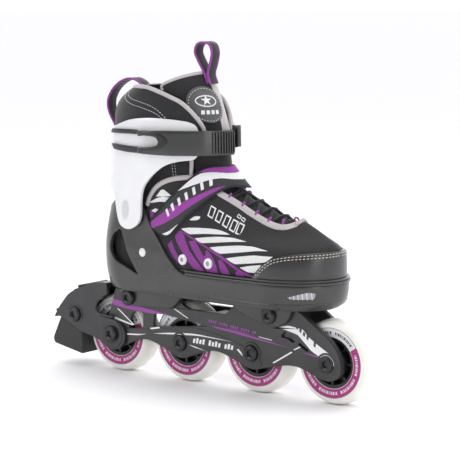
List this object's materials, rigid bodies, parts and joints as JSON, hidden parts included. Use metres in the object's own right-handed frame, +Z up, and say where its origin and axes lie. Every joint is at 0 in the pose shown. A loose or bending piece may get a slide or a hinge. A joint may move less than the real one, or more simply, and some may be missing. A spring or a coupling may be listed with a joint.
{
  "type": "inline skate",
  "caption": "Size-adjustable inline skate with a bolted wheel frame, heel brake, plastic shell and hinged cuff, padded liner, laced fabric upper, instep strap and ankle buckle.",
  "frame": {"origin": "middle of the footprint on the ground, under the skate's box", "axes": "+X towards the toe, +Y towards the inner side of the foot, +Z up"},
  "size_m": [0.3336, 0.0943, 0.2906],
  "materials": {
    "tyre_urethane": "milky white urethane, satin",
    "black_plastic": "moulded black nylon",
    "bearing_steel": "polished steel",
    "black_steel": "black oxide",
    "frame_plastic": "dark grey glass-filled nylon with printed lines",
    "pad_rubber": "matt brake rubber",
    "grey_plastic": "satin dark grey polypropylene",
    "silver_mesh": "silver mesh",
    "white_plastic": "glossy white polypropylene",
    "zebra_fabric": "black mesh with white and purple printed bands",
    "toe_leather": "smooth black synthetic leather, double stitched",
    "black_fabric": "black padded knit",
    "lace_cord": "black woven lace",
    "badge_leather": "grey synthetic leather with a stitched rim",
    "webbing": "black webbing with purple edges",
    "strap_fabric": "purple, white and grey printed strap"
  },
  "bodies": {
    "root": {"spacer_1": "bearing_steel", "axle_1": "black_steel", "spacer_2": "bearing_steel", "axle_2": "black_steel", "spacer_3": "bearing_steel", "axle_3": "black_steel", "spacer_4": "bearing_steel", "axle_4": "black_steel", "frame": "frame_plastic", "brake_arm": "black_plastic", "brake_pad": "pad_rubber", "brake_pad_bolt": "black_steel", "heel_mount_bolt": "black_steel", "front_mount_bolt": "black_steel", "outer_shell": "grey_plastic", "toe_vent_outer": "silver_mesh", "toe_vent_inner": "silver_mesh", "shell_rivet_outer": "white_plastic", "shell_rivet_inner": "white_plastic", "footbed": "black_fabric", "liner_lower": "black_fabric", "cuff_rivet_outer": "white_plastic", "cuff_rivet_inner": "white_plastic"},
    "wheel_1": {"tyre_1": "tyre_urethane", "hub_1": "black_plastic", "bearing_outer_1": "bearing_steel", "bearing_inner_1": "bearing_steel"},
    "wheel_2": {"tyre_2": "tyre_urethane", "hub_2": "black_plastic", "bearing_outer_2": "bearing_steel", "bearing_inner_2": "bearing_steel"},
    "wheel_3": {"tyre_3": "tyre_urethane", "hub_3": "black_plastic", "bearing_outer_3": "bearing_steel", "bearing_inner_3": "bearing_steel"},
    "wheel_4": {"tyre_4": "tyre_urethane", "hub_4": "black_plastic", "bearing_outer_4": "bearing_steel", "bearing_inner_4": "bearing_steel"},
    "toe_slider": {"toe_slider": "grey_plastic", "upper": "zebra_fabric", "toe_cap": "toe_leather", "tongue_lower": "black_fabric", "laces": "lace_cord", "instep_strap": "strap_fabric"},
    "strap_end": {"strap_end": "strap_fabric"},
    "cuff": {"cuff": "white_plastic", "liner_collar": "black_fabric", "tongue_upper": "black_fabric", "tongue_badge": "badge_leather", "tongue_pull_loop": "webbing", "heel_pull_loop": "webbing", "buckle_base": "grey_plastic", "buckle_hinge_pin": "bearing_steel", "ladder_strap": "black_plastic", "ladder_strap_rivet": "bearing_steel"},
    "buckle_lever": {"buckle_lever": "grey_plastic"}
  },
  "joints": [
    {"name": "wheel_1_spin", "type": "hinge", "parent": "root", "child": "wheel_1", "pos_m": [-0.096, 0, 0.035], "axis": [0, 1, 0], "continuous": true},
    {"name": "wheel_2_spin", "type": "hinge", "parent": "root", "child": "wheel_2", "pos_m": [-0.02, 0, 0.035], "axis": [0, 1, 0], "continuous": true},
    {"name": "wheel_3_spin", "type": "hinge", "parent": "root", "child": "wheel_3", "pos_m": [0.056, 0, 0.035], "axis": [0, 1, 0], "continuous": true},
    {"name": "wheel_4_spin", "type": "hinge", "parent": "root", "child": "wheel_4", "pos_m": [0.132, 0, 0.035], "axis": [0, 1, 0], "continuous": true},
    {"name": "toe_size_slide", "type": "slide", "parent": "root", "child": "toe_slider", "axis": [1, 0, 0], "range_m": [0, 0.02]},
    {"name": "strap_end_peel", "type": "hinge", "parent": "toe_slider", "child": "strap_end", "pos_m": [-0.014, -0.0323, 0.149], "axis": [-0.6112, 0, 0.7915], "range_deg": [0, 60]},
    {"name": "cuff_flex", "type": "hinge", "parent": "root", "child": "cuff", "pos_m": [-0.062, 0, 0.148], "axis": [0, 1, 0], "range_deg": [-4, 8]},
    {"name": "buckle_open", "type": "hinge", "parent": "cuff", "child": "buckle_lever", "pos_m": [-0.036, -0.0467, 0.2085], "axis": [0, 0, -1], "range_deg": [0, 100]}
  ]
}
